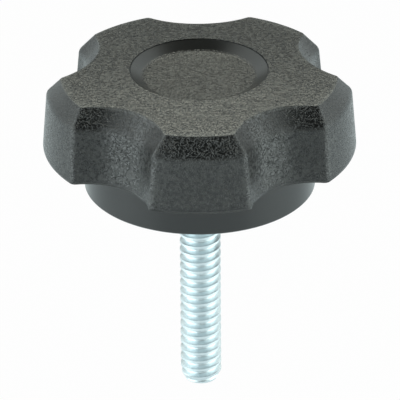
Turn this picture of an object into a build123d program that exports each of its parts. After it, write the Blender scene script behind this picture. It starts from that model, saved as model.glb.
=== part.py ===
from build123d import *
import os
from math import cos, radians, tan

# Five-arm knob on a threaded stud. Millimetres, +Z up, stud pointing down.
# The origin lies on the stud's axis, in the plane of the hub's seat.

# Arms, seen from above. Radii are those at the underside of the arms.
arm_count = 5
first_arm_angle = -90
arm_radius = 17.5
scallop_depth = 3.11
scallop_radius = 6.96
arm_corner_radius = 0.75

# Head, seen from the side
hub_height = 5.05
arm_wall_height = 6.5
wall_draft = 4.5
shoulder_height = 1.9
shoulder_inset = 1.55
shoulder_blend = 1.2
crown_rise = 0.56

# Round recess in the top
recess_radius = 7.74
recess_depth = 0.9
recess_slope = 30

# Hub and the coring of its underside
arm_overhang = 4.56
hub_draft = 1.0
hub_edge_chamfer = 0.15
skirt_wall = 2.05
boss_wall = 2.62
rib_thickness = 1.6
top_wall = 2.9

# Stud: a hexagon-head machine screw, number 10, 24 threads to the inch
stud_diameter = 4.62
stud_neck_diameter = 4.1
stud_length = 25.2
stud_embedded = 6.35
stud_point_length = 1.05
stud_point_drop = 0.52
hex_across_flats = 7.94
hex_height = 3.05
stud_relief_width = 0.4
stud_relief_slope = 45

# One overrun serves every cut that has to pass a face
overrun = 2.0

# Heights and radii that follow from the sizes above
wall_inset = arm_wall_height * tan(radians(wall_draft))
shoulder_z = hub_height + arm_wall_height
edge_z = shoulder_z + shoulder_height
edge_radius = arm_radius - wall_inset - shoulder_inset
rim_z = edge_z + crown_rise
recess_floor_z = rim_z - recess_depth
recess_grade = tan(radians(recess_slope))
recess_floor_radius = recess_radius - recess_depth / recess_grade
hub_radius = arm_radius - arm_overhang
skirt_inner_radius = hub_radius - skirt_wall
boss_radius = hex_across_flats / 2 / cos(radians(30)) + boss_wall
core_width = skirt_inner_radius - boss_radius
core_depth = rim_z - top_wall
rib_middle = (boss_radius + skirt_inner_radius) / 2
rib_length = core_width + overrun
scallop_reach = arm_radius - scallop_depth + scallop_radius
scallop_wall_radius = scallop_radius + wall_inset
scallop_edge_radius = scallop_wall_radius + shoulder_inset
shoulder_slope = shoulder_inset / shoulder_height
wall_slope = tan(radians(wall_draft))
stud_radius = stud_diameter / 2
stud_neck_radius = stud_neck_diameter / 2
stud_relief_radius = stud_radius + stud_relief_width
stud_relief_depth = (stud_relief_radius - stud_neck_radius) / tan(radians(stud_relief_slope))


# The stud: a turned profile with a point, a plain neck inside the plastic, and the hexagon head that holds it
with BuildPart() as threaded_stud:
    with BuildSketch(Plane.XZ):
        with BuildLine():
            Polyline(
                (0, -stud_length),
                (stud_radius - stud_point_drop, -stud_length),
                (stud_radius, stud_point_length - stud_length),
                (stud_radius, 0),
                (stud_neck_radius, 0),
                (stud_neck_radius, stud_embedded),
                (0, stud_embedded),
                close=True,
            )
        make_face()
    revolve(axis=Axis.Z)
    with BuildSketch(Plane.XY.offset(stud_embedded)):
        RegularPolygon(hex_across_flats / 2, 6, major_radius=False)
    extrude(amount=hex_height)

# One scallop as a turned cutter that widens with the draft and the shoulder
with BuildPart() as scallop_cutter:
    with BuildSketch(Plane.YZ) as cutter_profile:
        with BuildLine():
            Polyline(
                (scallop_reach, hub_height - overrun),
                (scallop_reach + scallop_radius - overrun * wall_slope, hub_height - overrun),
                (scallop_reach + scallop_wall_radius, shoulder_z),
                (scallop_reach + scallop_edge_radius + overrun * shoulder_slope, edge_z + overrun),
                (scallop_reach, edge_z + overrun),
                close=True,
            )
        make_face()
        cutter_corner = (scallop_reach + scallop_wall_radius, shoulder_z)
        fillet(cutter_profile.vertices().sort_by_distance(cutter_corner)[0], shoulder_blend)
    revolve(axis=Axis((0, scallop_reach, 0), (0, 0, 1)))

with BuildPart() as knob_head:
    # The turned blank: drafted wall, chamfered shoulder, a top that rises gently to the rim, and the recess in it
    with BuildSketch(Plane.YZ) as blank_profile:
        with BuildLine():
            Polyline(
                (recess_radius, rim_z),
                (recess_floor_radius, recess_floor_z),
                (0, recess_floor_z),
                (0, hub_height),
                (arm_radius, hub_height),
                (arm_radius - wall_inset, shoulder_z),
                (edge_radius, edge_z),
                close=True,
            )
        make_face()
        wall_corner = (arm_radius - wall_inset, shoulder_z)
        fillet(blank_profile.vertices().sort_by_distance(wall_corner)[0], shoulder_blend)
    revolve(axis=Axis.Z)

    # Five scallops leave the five arms. The cutter stands at +Y, half a step away from an arm.
    with PolarLocations(0, arm_count):
        add(scallop_cutter.part, mode=Mode.SUBTRACT)
    arm_corners = knob_head.edges().filter_by(Plane.XY, reverse=True)
    fillet(arm_corners.filter_by_position(Axis.Z, hub_height, edge_z), arm_corner_radius)

    # Hub below the arms
    with BuildSketch(Plane.XY):
        Circle(hub_radius)
    extrude(amount=hub_height, taper=-hub_draft)
    chamfer(knob_head.faces().sort_by(Axis.Z)[0].edges(), hub_edge_chamfer)

    # Coring of the hub: a skirt, a boss around the stud, and one rib under each arm
    with BuildSketch(Plane.XY):
        Circle(skirt_inner_radius)
        Circle(boss_radius, mode=Mode.SUBTRACT)
        with PolarLocations(rib_middle, arm_count, start_angle=first_arm_angle):
            Rectangle(rib_length, rib_thickness, mode=Mode.SUBTRACT)
    extrude(amount=core_depth, mode=Mode.SUBTRACT)

    # A small countersink in the seat, down to the neck, keeps the plastic clear of the first thread
    with BuildSketch(Plane.XY):
        Circle(stud_relief_radius)
    extrude(amount=stud_relief_depth, taper=stud_relief_slope, mode=Mode.SUBTRACT)

    # Above it the plastic is moulded tight around the stud
    add(threaded_stud.part, mode=Mode.SUBTRACT)

os.makedirs("parts", exist_ok=True)

knob_head.part.label = "knob_head"
export_step(knob_head.part, "parts/knob_head.step")

threaded_stud.part.label = "threaded_stud"
export_step(threaded_stud.part, "parts/threaded_stud.step")
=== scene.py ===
"""Five-arm knob in black grained plastic on a zinc-plated stud, over a plain pale floor."""

import logging
import math
from dataclasses import dataclass, field
from enum import Enum
from typing import Any, Mapping, Optional, Sequence

import bmesh
import bpy
from mathutils import Matrix, Vector


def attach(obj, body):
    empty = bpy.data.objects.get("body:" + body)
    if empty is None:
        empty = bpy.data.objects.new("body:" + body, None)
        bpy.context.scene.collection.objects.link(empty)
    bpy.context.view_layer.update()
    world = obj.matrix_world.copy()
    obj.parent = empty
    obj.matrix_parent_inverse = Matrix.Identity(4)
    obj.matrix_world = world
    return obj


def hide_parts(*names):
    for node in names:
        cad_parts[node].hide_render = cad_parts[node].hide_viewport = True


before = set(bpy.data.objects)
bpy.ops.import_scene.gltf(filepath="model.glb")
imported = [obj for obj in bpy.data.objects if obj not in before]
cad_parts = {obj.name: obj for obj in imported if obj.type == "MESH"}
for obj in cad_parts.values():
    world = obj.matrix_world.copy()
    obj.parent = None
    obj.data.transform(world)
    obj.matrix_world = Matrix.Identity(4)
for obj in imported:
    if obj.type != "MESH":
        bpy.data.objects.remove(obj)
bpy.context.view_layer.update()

LOG = logging.getLogger("five_arm_knob")
MM = 0.001

Colour = tuple[float, float, float]
Span = tuple[float, float]
WHITE: Colour = (1.0, 1.0, 1.0)
MIDDLE = 0.5


class Packed(Enum):
    """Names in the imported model: its body, its nodes and the stud's material slot."""

    BODY = "root"
    HEAD = "knob_head"
    STUD = "threaded_stud"
    STEEL = "zinc_steel"


class Blend(Enum):
    """What a Mix node mixes."""

    VECTOR = "VECTOR"
    COLOUR = "RGBA"


class Sock:
    """A node's value socket whose arithmetic adds Math nodes."""

    def __init__(self, graph: "Graph", socket: bpy.types.NodeSocket) -> None:
        """Keep the graph and the socket."""
        self.graph = graph
        self.socket = socket

    def _math(self, operation: str, first: Any, second: Any = None) -> "Sock":
        """Add one Math node.

        Args:
            operation: The Math node's operation.
            first: Its first value or link.
            second: Its second value or link, if it takes one.

        Returns:
            The node's result.
        """
        inputs = {0: first} if second is None else {0: first, 1: second}
        node = self.graph.add("ShaderNodeMath", {"operation": operation}, inputs)
        return Sock(self.graph, node.outputs[0])

    def __add__(self, other: Any) -> "Sock":
        """Sum."""
        return self._math("ADD", self, other)

    def __radd__(self, other: Any) -> "Sock":
        """Sum, reflected."""
        return self._math("ADD", other, self)

    def __sub__(self, other: Any) -> "Sock":
        """Difference."""
        return self._math("SUBTRACT", self, other)

    def __rsub__(self, other: Any) -> "Sock":
        """Difference, reflected."""
        return self._math("SUBTRACT", other, self)

    def __mul__(self, other: Any) -> "Sock":
        """Product."""
        return self._math("MULTIPLY", self, other)

    def __rmul__(self, other: Any) -> "Sock":
        """Product, reflected."""
        return self._math("MULTIPLY", other, self)

    def root(self) -> "Sock":
        """Square root."""
        return self._math("SQRT", self)

    def size(self) -> "Sock":
        """Value without its sign."""
        return self._math("ABSOLUTE", self)

    def step(self, low: float, high: float) -> "Sock":
        """Rise smoothly from 0 at low to 1 at high.

        Args:
            low: Value at which the result leaves 0.
            high: Value at which the result reaches 1.

        Returns:
            The smooth step.
        """
        settings = {"interpolation_type": "SMOOTHSTEP"}
        inputs = {"Value": self, "From Min": low, "From Max": high}
        return self.graph.value("ShaderNodeMapRange", "Result", settings, inputs)


@dataclass
class Graph:
    """The node tree of one material or of the world."""

    tree: bpy.types.NodeTree

    def add(self, kind: str, settings: Optional[Mapping[str, Any]] = None,
            inputs: Optional[Mapping[Any, Any]] = None) -> bpy.types.Node:
        """Add one node.

        Args:
            kind: The node's type.
            settings: Properties of the node, set first.
            inputs: Values or links of its sockets, by name or by place.

        Returns:
            The node.
        """
        node = self.tree.nodes.new(kind)
        for name, value in (settings or {}).items():
            setattr(node, name, value)
        for name, value in (inputs or {}).items():
            self.feed(node.inputs[name], value)
        return node

    def feed(self, socket: bpy.types.NodeSocket, value: Any) -> None:
        """Link a socket or set its value.

        Args:
            socket: The input that takes it.
            value: A wrapped output, a bare output or a constant.
        """
        if isinstance(value, Sock):
            value = value.socket
        if isinstance(value, bpy.types.NodeSocket):
            self.tree.links.new(value, socket)
        else:
            socket.default_value = value

    def value(self, kind: str, output: str, settings: Optional[Mapping[str, Any]] = None,
              inputs: Optional[Mapping[Any, Any]] = None) -> Sock:
        """Add a node and wrap one of its outputs.

        Args:
            kind: The node's type.
            output: The output's name.
            settings: Properties of the node.
            inputs: Values or links of its sockets.

        Returns:
            The wrapped output.
        """
        return Sock(self, self.add(kind, settings, inputs).outputs[output])

    def mix(self, kind: Blend, share: Sock, first: Any, second: Any) -> bpy.types.NodeSocket:
        """Mix two vectors or colours.

        Args:
            kind: What is mixed.
            share: How much of the second shows.
            first: The first value or link.
            second: The second value or link.

        Returns:
            The mixed value.
        """
        node = self.add("ShaderNodeMix", {"data_type": kind.value})
        inputs = [socket for socket in node.inputs if socket.enabled]
        for socket, value in zip(inputs, (share, first, second)):
            self.feed(socket, value)
        return next(socket for socket in node.outputs if socket.enabled)

    def blend(self, share: Sock, first: Any, second: Any) -> bpy.types.NodeSocket:
        """Mix two colours.

        Args:
            share: How much of the second colour shows.
            first: The first colour, or a link to one.
            second: The second colour, or a link to one.

        Returns:
            The mixed colour.
        """
        head, tail = ((*part, 1.0) if isinstance(part, tuple) else part for part in (first, second))
        return self.mix(Blend.COLOUR, share, head, tail)

    def noise(self, point: bpy.types.NodeSocket, size: float, detail: float, layers: float = 0.5) -> Sock:
        """Spread a noise over the surface.

        Args:
            point: The point in the row frame.
            size: Width of one grain.
            detail: How many finer layers lie on it.
            layers: How strongly each finer layer shows.

        Returns:
            The noise, from 0 to 1.
        """
        inputs = {"Vector": point, "Scale": 1 / size, "Detail": detail, "Roughness": layers}
        return self.value("ShaderNodeTexNoise", "Fac", None, inputs)

    def split(self, vector: bpy.types.NodeSocket) -> tuple[Sock, Sock, Sock]:
        """Take a vector's three parts: east, north and up."""
        outputs = self.add("ShaderNodeSeparateXYZ", None, {0: vector}).outputs
        return Sock(self, outputs["X"]), Sock(self, outputs["Y"]), Sock(self, outputs["Z"])

    def place(self) -> tuple[bpy.types.NodeSocket, Sock, Sock]:
        """Read where a point lies on the object.

        Returns:
            The point in the row frame, its distance from the stud's axis and its height.
        """
        point = self.add("ShaderNodeTexCoord").outputs["Object"]
        east, north, up = self.split(point)
        return point, (east * east + north * north).root(), up


def new_material(name: str) -> tuple[bpy.types.Material, Graph, bpy.types.Node]:
    """Make an empty material.

    Args:
        name: The material's name.

    Returns:
        The material, its graph and its output node.
    """
    material = bpy.data.materials.new(name)
    material.use_nodes = True
    material.node_tree.nodes.clear()
    graph = Graph(material.node_tree)
    return material, graph, graph.add("ShaderNodeOutputMaterial")


def dress(obj: bpy.types.Object, material: bpy.types.Material) -> None:
    """Give an object one material and no other."""
    obj.data.materials.clear()
    obj.data.materials.append(material)


def add_object(name: str, data: bpy.types.ID) -> bpy.types.Object:
    """Put a mesh, a lamp or a camera into the scene.

    Args:
        name: The object's name.
        data: What it shows.

    Returns:
        The object.
    """
    obj = bpy.data.objects.new(name, data)
    bpy.context.scene.collection.objects.link(obj)
    return obj


@dataclass(frozen=True)
class Zones:
    """Shares from 0 to 1 that say where on the head a point lies."""

    # The crowned top, the upright walls of arms and scallops, the recess floor, and these three together
    plate: Sock
    walls: Sock
    floor: Sock
    faces: Sock
    # The recess wall, its foot with the floor inside it, and all beyond its rim
    slope: Sock
    cove: Sock
    outside: Sock
    # All above the hub that carries the grain, so not the recess wall
    grained: Sock
    # Fine lines: the lip at the recess rim, the tips of the top and the foot of the arms; tips and foot
    # carry a painted highlight line
    lip: Sock
    tips: Sock
    foot: Sock


@dataclass(frozen=True)
class Grain:
    """Patterns of the moulded surface."""

    noise: Sock
    crest: Sock
    worn: Sock
    cloud: Sock


@dataclass(frozen=True)
class GrainedPlastic:
    """Black moulded plastic: a leather grain on arms and top, smooth on hub and recess wall."""

    # Colours of bare plastic, of the fine grain with painted shade in its pits, of the coarse grain on the
    # open faces and of the painted highlight on edges, top tips and arm foot
    smooth_black: Colour = (0.0062, 0.0065, 0.0063)
    pit_shade_black: Colour = (0.0040, 0.0042, 0.0040)
    crest_grey: Colour = (0.0110, 0.0114, 0.0109)
    face_pit: Colour = (0.0010, 0.0010, 0.0009)
    face_crest: Colour = (0.0360, 0.0370, 0.0350)
    highlight_grey: Colour = (0.115, 0.117, 0.112)

    # Fine grain: winding crests where the noise crosses its middle, over a soft swell
    grain_size: float = 0.28 * MM
    grain_detail: float = 1.0
    grain_layers: float = 0.45
    wrinkle_width: float = 0.06
    wrinkle_depth: float = 0.045 * MM
    swell: float = 0.5
    top_boost: float = 1.5
    wall_boost: float = 0.6

    # Coarse grain of the open faces, a cloud over all, and how crests and cloud set the fine grain's colour:
    # darker pits as painted shade, random tone from the cloud
    face_grain: float = 0.40 * MM
    face_detail: float = 2.0
    face_span: Span = (0.40, 0.62)
    cloud_size: float = 4.545 * MM
    cloud_detail: float = 3.0
    crest_share: float = 0.7
    cloud_share: float = 0.6
    shade_start: float = 0.15

    # Gloss
    ior: float = 1.62
    pit_roughness: float = 0.30
    crest_roughness: float = 0.26
    smooth_roughness: float = 0.22
    slope_roughness: float = 0.28
    face_swing: float = 0.16
    cloud_swing: float = 0.06

    # Broken edges, and the painted highlight in patches along edges, the top's brink and tips, and the arms'
    # foot
    bevel_samples: int = 8
    edge_round: float = 0.25 * MM
    corner_round: float = 0.7 * MM
    edge_span: Span = (0.01, 0.12)
    brink_span: Span = (0.0004, 0.006)
    patch_span: Span = (0.25, 0.55)
    edge_highlight: float = 0.15
    brink_highlight: float = 0.4
    tip_highlight: float = 0.4
    foot_highlight: float = 0.85

    # Heights and radii of the moulding, and the widths of lines and blends
    arm_foot: float = 5.05 * MM
    wall_foot: float = 5.3 * MM
    wall_head: float = 11.6 * MM
    top_low: float = 13.42 * MM
    slope_low: float = 12.9 * MM
    slope_inner: float = 6.19 * MM
    slope_outer: float = 7.74 * MM
    cove_width: float = 0.3 * MM
    lip_width: float = 0.14 * MM
    lip_rise: float = 6.0
    tip_band: float = 0.12 * MM
    foot_width: float = 0.18 * MM
    fade: float = 0.25 * MM
    line: float = 0.04 * MM

    def find_zones(self, radius: Sock, height: Sock) -> Zones:
        """Tell the parts of the head apart.

        Args:
            radius: Distance from the stud's axis.
            height: Height in the row frame.

        Returns:
            The zones.
        """
        cove_outer = self.slope_inner + self.cove_width
        foot_top = self.arm_foot + self.foot_width
        arms = height.step(self.arm_foot, self.arm_foot + self.fade)
        plate = height.step(self.top_low, self.top_low + self.line)
        walls = height.step(self.wall_foot, self.wall_foot + 2 * self.fade)
        walls = walls * (1 - height.step(self.wall_head - 2 * self.fade, self.wall_head))
        floor = arms * (1 - radius.step(self.slope_inner, self.slope_inner + self.line))
        slope = radius.step(self.slope_inner, cove_outer)
        slope = slope * (1 - radius.step(self.slope_outer - self.line, self.slope_outer + self.line))
        slope = slope * height.step(self.slope_low, self.slope_low + self.fade)
        cove = (1 - radius.step(cove_outer, cove_outer + self.line)) * arms
        outside = radius.step(self.slope_outer + self.fade, self.slope_outer + 2 * self.fade)
        lip = radius.step(self.slope_outer - self.lip_width, self.slope_outer) * arms
        tips = plate * (1 - height.step(self.top_low + self.line, self.top_low + self.tip_band))
        foot = height.step(self.arm_foot - self.line, self.arm_foot)
        foot = foot * (1 - height.step(foot_top, foot_top + self.line))
        return Zones(plate=plate, walls=walls, floor=floor, faces=plate + floor + walls, slope=slope,
                     cove=cove, outside=outside, grained=arms * (1 - slope), lip=lip, tips=tips, foot=foot)

    def spread_grain(self, graph: Graph, point: bpy.types.NodeSocket) -> Grain:
        """Lay the patterns over the surface.

        Args:
            graph: The material's graph.
            point: The point in the row frame.

        Returns:
            The patterns.
        """
        noise = graph.noise(point, self.grain_size, self.grain_detail, self.grain_layers)
        crest = 1 - (noise - MIDDLE).size().step(0.0, self.wrinkle_width)
        worn = graph.noise(point, self.face_grain, self.face_detail).step(*self.face_span)
        cloud = graph.noise(point, self.cloud_size, self.cloud_detail)
        return Grain(noise=noise, crest=crest, worn=worn, cloud=cloud)

    def break_edges(self, graph: Graph, zones: Zones) -> tuple[bpy.types.NodeSocket, Sock]:
        """Round the edges in the shading and find where a painted highlight lies along them.

        Args:
            graph: The material's graph.
            zones: Where on the head a point lies.

        Returns:
            The rounded normal and the share of painted highlight.
        """
        plain = graph.add("ShaderNodeNewGeometry").outputs["Normal"]
        normals = []
        bends = []
        for reach in (self.edge_round, self.corner_round):
            bevel = graph.add("ShaderNodeBevel", {"samples": self.bevel_samples}, {"Radius": reach})
            normals.append(bevel.outputs["Normal"])
            bends.append(1 - graph.value("ShaderNodeVectorMath", "Value", {"operation": "DOT_PRODUCT"},
                                         {0: bevel.outputs["Normal"], 1: plain}))
        sharp, broad = normals
        near, wide = bends
        edges = zones.outside + (1 - zones.plate) * (1 - zones.slope) * (1 - zones.floor)
        rounded = graph.mix(Blend.VECTOR, edges, plain, sharp)
        rounded = graph.mix(Blend.VECTOR, zones.walls, rounded, broad)
        rounded = graph.mix(Blend.VECTOR, zones.cove, rounded, sharp)
        # Painted highlight: lighter colour along rounded edges, on the top's brink and tips, and on the
        # arms' foot line
        painted_highlight = near.step(*self.edge_span) * self.edge_highlight
        painted_highlight = painted_highlight + wide.step(*self.brink_span) * zones.plate * self.brink_highlight
        painted_highlight = (painted_highlight + zones.tips * self.tip_highlight) * zones.outside
        return rounded, painted_highlight + zones.foot * self.foot_highlight

    def raise_grain(self, zones: Zones, grain: Grain) -> Sock:
        """Work out the height of the grain and of the lip.

        Args:
            zones: Where on the head a point lies.
            grain: The patterns.

        Returns:
            The height, in depths of a wrinkle.
        """
        boost = 1 + (zones.plate + zones.floor) * self.top_boost + zones.walls * self.wall_boost
        return (grain.crest + grain.noise * self.swell) * zones.grained * boost + zones.lip * self.lip_rise

    def tint(self, graph: Graph, zones: Zones, grain: Grain, painted_highlight: Sock) -> bpy.types.NodeSocket:
        """Mix the colour.

        Args:
            graph: The material's graph.
            zones: Where on the head a point lies.
            grain: The patterns.
            painted_highlight: The share of painted highlight.

        Returns:
            The colour.
        """
        # Fine grain colour: darker in the pits between crests as painted shade, with random lighter tone
        # from the cloud
        shade = grain.crest * self.crest_share + grain.cloud * self.cloud_share - self.shade_start
        colour = graph.blend(shade.step(0.0, 1.0), self.pit_shade_black, self.crest_grey)
        faces = graph.blend(grain.worn, self.face_pit, self.face_crest)
        colour = graph.blend(zones.faces, colour, faces)
        colour = graph.blend(zones.grained, self.smooth_black, colour)
        # Painted highlight: lighter grey in patches where the highlight share lies
        return graph.blend(painted_highlight * grain.cloud.step(*self.patch_span), colour, self.highlight_grey)

    def roughen(self, zones: Zones, grain: Grain) -> Sock:
        """Work out the roughness.

        Args:
            zones: Where on the head a point lies.
            grain: The patterns.

        Returns:
            The roughness.
        """
        rough = self.pit_roughness + (self.crest_roughness - self.pit_roughness) * grain.crest
        rough = rough + zones.faces * (grain.worn - MIDDLE) * self.face_swing
        bare = self.smooth_roughness + zones.slope * (self.slope_roughness - self.smooth_roughness)
        return bare + (rough - bare) * zones.grained + (grain.cloud - MIDDLE) * self.cloud_swing

    def make(self) -> bpy.types.Material:
        """Build the material.

        Returns:
            The material.
        """
        material, graph, output = new_material("black_grained_plastic")
        point, radius, height = graph.place()
        zones = self.find_zones(radius, height)
        grain = self.spread_grain(graph, point)
        rounded, painted_highlight = self.break_edges(graph, zones)
        relief = self.raise_grain(zones, grain)
        bump = graph.add("ShaderNodeBump", None, {"Strength": 1.0, "Distance": self.wrinkle_depth,
                                                  "Height": relief, "Normal": rounded})
        colour = self.tint(graph, zones, grain, painted_highlight)
        rough = self.roughen(zones, grain)
        shader = graph.add("ShaderNodeBsdfPrincipled", None,
                           {"Base Color": colour, "Roughness": rough, "IOR": self.ior,
                            "Normal": bump.outputs["Normal"]})
        graph.feed(output.inputs["Surface"], shader.outputs["BSDF"])
        return material


@dataclass(frozen=True)
class ZincSteel:
    """Bright zinc plating with a cool tint, a little duller in patches."""

    zinc: Colour = (0.735, 0.805, 0.83)
    dull_zinc: Colour = (0.67, 0.75, 0.78)
    roughness: float = 0.42
    roughness_swing: float = 0.16
    mottle_size: float = 0.7 * MM
    mottle_detail: float = 3.0
    mottle_span: Span = (0.3, 0.7)
    mottle_strength: float = 0.35
    mottle_depth: float = 0.01 * MM

    def make(self) -> bpy.types.Material:
        """Build the material.

        Returns:
            The material.
        """
        material, graph, output = new_material("bright_zinc")
        point, _, _ = graph.place()
        mottle = graph.noise(point, self.mottle_size, self.mottle_detail)
        colour = graph.blend(mottle.step(*self.mottle_span), self.dull_zinc, self.zinc)
        rough = self.roughness + (mottle - MIDDLE) * self.roughness_swing
        bump = graph.add("ShaderNodeBump", None, {"Strength": self.mottle_strength,
                                                  "Distance": self.mottle_depth, "Height": mottle})
        shader = graph.add("ShaderNodeBsdfPrincipled", None,
                           {"Base Color": colour, "Metallic": 1.0, "Roughness": rough,
                            "Normal": bump.outputs["Normal"]})
        graph.feed(output.inputs["Surface"], shader.outputs["BSDF"])
        return material


@dataclass
class KnobHead:
    """The moulded head: the CAD solid with its finish."""

    finish: GrainedPlastic = field(default_factory=GrainedPlastic)

    def build(self) -> bpy.types.Object:
        """Dress the head.

        Returns:
            The head's object.
        """
        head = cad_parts[Packed.HEAD.value]
        dress(head, self.finish.make())
        return head


@dataclass
class ThreadedStud:
    """The screw: point, rolled right-hand thread, plain neck and hexagon head."""

    crest_radius: float = 2.31 * MM
    root_radius: float = 1.80 * MM
    pitch: float = 1.0583 * MM
    length: float = 25.2 * MM
    point_length: float = 1.05 * MM
    point_radius: float = 1.79 * MM
    run_out: float = 0.9 * MM
    neck_radius: float = 2.05 * MM
    neck_top: float = 6.35 * MM
    hex_flats: float = 7.94 * MM
    hex_height: float = 3.05 * MM
    hex_sides: int = 6

    # The winding: extra turns that the cuts take off again, points in a turn, and limits of the mesh
    lead_turns: int = 2
    spare_turns: int = 3
    steps: int = 64
    least_radius: float = 0.36 * MM
    weld: float = 0.0005 * MM
    sharp_angle: float = 50.0

    # One pitch of the thread: share of the pitch, and share of the depth from crest to root
    profile: Sequence[Span] = (
        (0.0, 0.0), (0.13, 0.0), (0.26, 0.0), (0.33, 0.26), (0.40, 0.52), (0.47, 0.78), (0.52, 0.93),
        (0.57, 0.99), (0.63, 1.0), (0.69, 0.99), (0.74, 0.93), (0.79, 0.78), (0.86, 0.52), (0.93, 0.26))
    finish: ZincSteel = field(default_factory=ZincSteel)

    def radius_at(self, depth: float, height: float) -> float:
        """Find the surface's radius.

        Args:
            depth: Share of the thread's depth, 0 at the crest and 1 at the root.
            height: Height in the row frame.

        Returns:
            The radius, cut by the point and faded into the neck.
        """
        radius = self.crest_radius - depth * (self.crest_radius - self.root_radius)
        tip = height + self.length
        cone = self.point_radius + (self.crest_radius - self.point_radius) * tip / self.point_length
        share = min(1.0, max(0.0, (height + self.run_out) / self.run_out))
        share = share * share * (3 - 2 * share)
        return min(radius, cone) * (1 - share) + self.neck_radius * share

    def wind_row(self, mesh: bmesh.types.BMesh, turned: float, depth: float) -> list[bmesh.types.BMVert]:
        """Wind one line of the profile once around the axis.

        Args:
            mesh: The mesh that takes the line's points.
            turned: Turns wound before this one.
            depth: Share of the thread's depth.

        Returns:
            The line's points.
        """
        start = -self.length - self.lead_turns * self.pitch
        row = []
        for step in range(self.steps + 1):
            angle = 2 * math.pi * step / self.steps
            height = start + self.pitch * (turned + step / self.steps)
            radius = max(self.radius_at(depth, height), self.least_radius)
            row.append(mesh.verts.new((radius * math.cos(angle), radius * math.sin(angle), height)))
        return row

    def wind_shank(self, mesh: bmesh.types.BMesh) -> None:
        """Wind thread and neck as one strip, cut it at both ends and close the point.

        Args:
            mesh: The mesh that takes the shank.
        """
        low, high = -self.length, self.neck_top
        turns = math.ceil((high - low) / self.pitch) + self.spare_turns
        rows = []
        for turn in range(turns):
            for share, depth in self.profile:
                rows.append(self.wind_row(mesh, turn + share, depth))
        for lower, upper in zip(rows, rows[1:]):
            for step in range(self.steps):
                mesh.faces.new((lower[step], lower[step + 1], upper[step + 1], upper[step]))
        bmesh.ops.remove_doubles(mesh, verts=mesh.verts, dist=self.weld)
        for level, outward in ((low, -1), (high, 1)):
            everything = mesh.verts[:] + mesh.edges[:] + mesh.faces[:]
            bmesh.ops.bisect_plane(mesh, geom=everything, plane_co=(0, 0, level), dist=self.weld,
                                   plane_no=(0, 0, outward), clear_outer=True)
        point = [edge for edge in mesh.edges if edge.is_boundary and edge.verts[0].co.z < 0]
        bmesh.ops.holes_fill(mesh, edges=point, sides=0)
        LOG.info("shank wound: %d turns, %d faces", turns, len(mesh.faces))

    def add_hexagon(self, mesh: bmesh.types.BMesh) -> None:
        """Set the hexagon head on the open end of the neck.

        Args:
            mesh: The mesh that holds the shank.
        """
        neck = [edge for edge in mesh.edges if edge.is_boundary]
        reach = self.hex_flats / 2 / math.cos(math.pi / self.hex_sides)
        angles = [2 * math.pi / self.hex_sides * side for side in range(self.hex_sides)]
        lower, upper = ([mesh.verts.new((reach * math.cos(angle), reach * math.sin(angle), height))
                         for angle in angles] for height in (self.neck_top, self.neck_top + self.hex_height))
        mesh.faces.new(upper)
        under = []
        for side in range(self.hex_sides):
            after = (side + 1) % self.hex_sides
            mesh.faces.new((lower[side], lower[after], upper[after], upper[side]))
            under.append(mesh.edges.get((lower[side], lower[after])))
        bmesh.ops.triangle_fill(mesh, use_beauty=True, edges=neck + under, normal=(0, 0, -1))

    def build(self) -> bpy.types.Object:
        """Make the stud in place of its CAD node.

        Returns:
            The stud's object.
        """
        work = bmesh.new()
        self.wind_shank(work)
        self.add_hexagon(work)
        bmesh.ops.recalc_face_normals(work, faces=work.faces)
        mesh = bpy.data.meshes.new("stud_thread")
        work.to_mesh(mesh)
        work.free()
        mesh.shade_smooth()
        mesh.set_sharp_from_angle(angle=math.radians(self.sharp_angle))
        stud = add_object("stud_thread", mesh)
        dress(stud, self.finish.make())
        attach(stud, Packed.BODY.value)
        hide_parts(Packed.STUD.value)
        return stud


@dataclass
class Softbox:
    """One rectangular studio lamp aimed at the knob."""

    name: str
    azimuth: float
    elevation: float
    distance: float
    width: float
    height: float
    radiance: float
    colour: Colour

    def build(self, target: Vector) -> None:
        """Hang the lamp.

        Args:
            target: The point that the lamp faces.
        """
        lamp = bpy.data.lights.new(self.name, "AREA")
        lamp.shape = "RECTANGLE"
        lamp.size, lamp.size_y = self.width, self.height
        lamp.color = self.colour
        lamp.energy = self.radiance * math.pi * self.width * self.height
        obj = add_object(self.name, lamp)
        turn, rise = math.radians(self.azimuth), math.radians(self.elevation)
        level = math.cos(rise)
        away = Vector((math.sin(turn) * level, math.cos(turn) * level, math.sin(rise)))
        obj.location = target + away * self.distance
        obj.rotation_euler = (-away).to_track_quat("-Z", "Y").to_euler()


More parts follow.
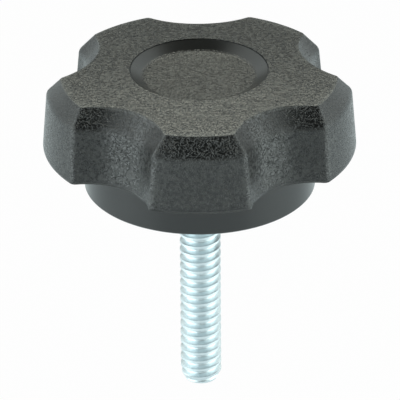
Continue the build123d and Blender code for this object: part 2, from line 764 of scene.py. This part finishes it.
@dataclass
class Studio:
    """Floor, room light, lamps and camera."""

    floor_level: float = -0.6
    floor_half: float = 9.0
    floor_white: Colour = (0.95, 0.95, 0.95)
    floor_show: float = 0.98
    bounce: Colour = (0.87, 0.99, 1.0)

    # The room: pale walls at both sides, a low glow before and behind, and dim elsewhere
    room_dim: Colour = (0.024, 0.025, 0.025)
    room_low: Colour = (0.64, 0.67, 0.61)
    room_side: Colour = (0.97, 1.06, 1.05)
    wall_lean: float = 0.19
    wall_start: Span = (0.28, 0.5)
    wall_end: Span = (0.82, 1.0)
    wall_front: Span = (-0.2, 0.1)
    behind_rise: Span = (-0.05, 0.5)
    behind_fall: Span = (0.5, 0.68)
    ahead_fall: Span = (0.15, 0.38)
    ahead_share: float = 0.6
    ahead_to_behind: Span = (-0.1, 0.3)

    # The camera, with its shift in pixels of the photograph
    elevation: float = 27.85
    roll: float = -0.38
    distance: float = 0.5625
    lens: float = 450.0
    sensor: float = 36.0
    near_clip: float = 0.01
    far_clip: float = 50.0
    target_height: float = -2.514 * MM
    pixels: float = 400.0
    down_px: float = 0.5

    lamps: Sequence[Softbox] = (
        Softbox("back_softbox", azimuth=0.0, elevation=51.0, distance=0.6, width=0.48, height=0.26,
                radiance=4.5, colour=(0.98, 1.0, 0.86)),
        Softbox("left_softbox", azimuth=-110.0, elevation=11.0, distance=0.34, width=0.48, height=0.48,
                radiance=2.0, colour=(0.90, 1.0, 1.0)),
        Softbox("right_softbox", azimuth=105.0, elevation=11.0, distance=0.34, width=0.44, height=0.48,
                radiance=1.9, colour=(0.90, 1.0, 0.97)))

    def lay_floor(self) -> None:
        """Lay the floor, white to the camera and in reflections, paper to the other light."""
        low, high, level = -self.floor_half, self.floor_half, self.floor_level
        mesh = bpy.data.meshes.new("floor")
        corners = [(low, low, level), (high, low, level), (high, high, level), (low, high, level)]
        mesh.from_pydata(corners, [], [(0, 1, 2, 3)])
        floor = add_object("floor", mesh)
        material, graph, output = new_material("pale_floor")
        rays = graph.add("ShaderNodeLightPath").outputs
        camera, glossy, through = (Sock(graph, rays[name]) for name in
                                   ("Is Camera Ray", "Is Glossy Ray", "Is Transmission Ray"))
        shown = (camera + glossy + through) * self.floor_show
        tint = graph.blend(glossy, WHITE, self.bounce)
        paper = graph.add("ShaderNodeBsdfDiffuse", None, {"Color": (*self.floor_white, 1.0)})
        white = graph.add("ShaderNodeEmission", None, {"Color": tint, "Strength": 1.0})
        mixed = graph.add("ShaderNodeMixShader", None,
                          {0: shown, 1: paper.outputs[0], 2: white.outputs[0]})
        graph.feed(output.inputs["Surface"], mixed.outputs[0])
        dress(floor, material)

    def light_room(self) -> None:
        """Light the room, white to the camera."""
        world = bpy.data.worlds.new("room")
        world.use_nodes = True
        world.node_tree.nodes.clear()
        bpy.context.scene.world = world
        graph = Graph(world.node_tree)
        east, north, up = graph.split(graph.add("ShaderNodeTexCoord").outputs["Generated"])
        wall_top = up + east * self.wall_lean
        side = east.size().step(*self.wall_start) * (1 - wall_top.step(*self.wall_end))
        side = side * north.step(*self.wall_front)
        behind = up.step(*self.behind_rise) * (1 - up.step(*self.behind_fall))
        ahead = (1 - up.step(*self.ahead_fall)) * self.ahead_share
        low = ahead + (behind - ahead) * north.step(*self.ahead_to_behind)
        room = graph.blend(side, graph.blend(low, self.room_dim, self.room_low), self.room_side)
        camera = graph.value("ShaderNodeLightPath", "Is Camera Ray")
        colour = graph.blend(camera, room, WHITE)
        glow = graph.add("ShaderNodeBackground", None, {"Color": colour, "Strength": 1.0})
        output = graph.add("ShaderNodeOutputWorld")
        graph.feed(output.inputs["Surface"], glow.outputs[0])

    def place_camera(self) -> None:
        """Stand the camera where the photograph was taken."""
        data = bpy.data.cameras.new("camera")
        data.lens, data.sensor_width = self.lens, self.sensor
        data.clip_start, data.clip_end = self.near_clip, self.far_clip
        data.shift_y = self.down_px / self.pixels
        camera = add_object("camera", data)
        rise = math.radians(self.elevation)
        back, above = math.cos(rise) * self.distance, math.sin(rise) * self.distance
        spot = Vector((0.0, -back, above + self.target_height))
        pitch = Matrix.Rotation(math.pi / 2 - rise, 4, "X")
        roll = Matrix.Rotation(math.radians(self.roll), 4, "Z")
        camera.matrix_world = Matrix.Translation(spot) @ (pitch @ roll)
        bpy.context.scene.camera = camera

    def build(self) -> None:
        """Set the studio up."""
        self.place_camera()
        self.lay_floor()
        self.light_room()
        target = Vector((0.0, 0.0, self.target_height))
        for lamp in self.lamps:
            lamp.build(target)
        bpy.context.scene.view_settings.view_transform = "Standard"


def main() -> None:
    """Build the knob and its studio in order."""
    logging.basicConfig(level=logging.INFO, format="%(name)s: %(message)s")
    Studio().build()
    LOG.info("studio set")
    for piece in (KnobHead(), ThreadedStud()):
        LOG.info("%s: %s", type(piece).__name__, piece.build().name)


if __name__ == "__main__":
    main()
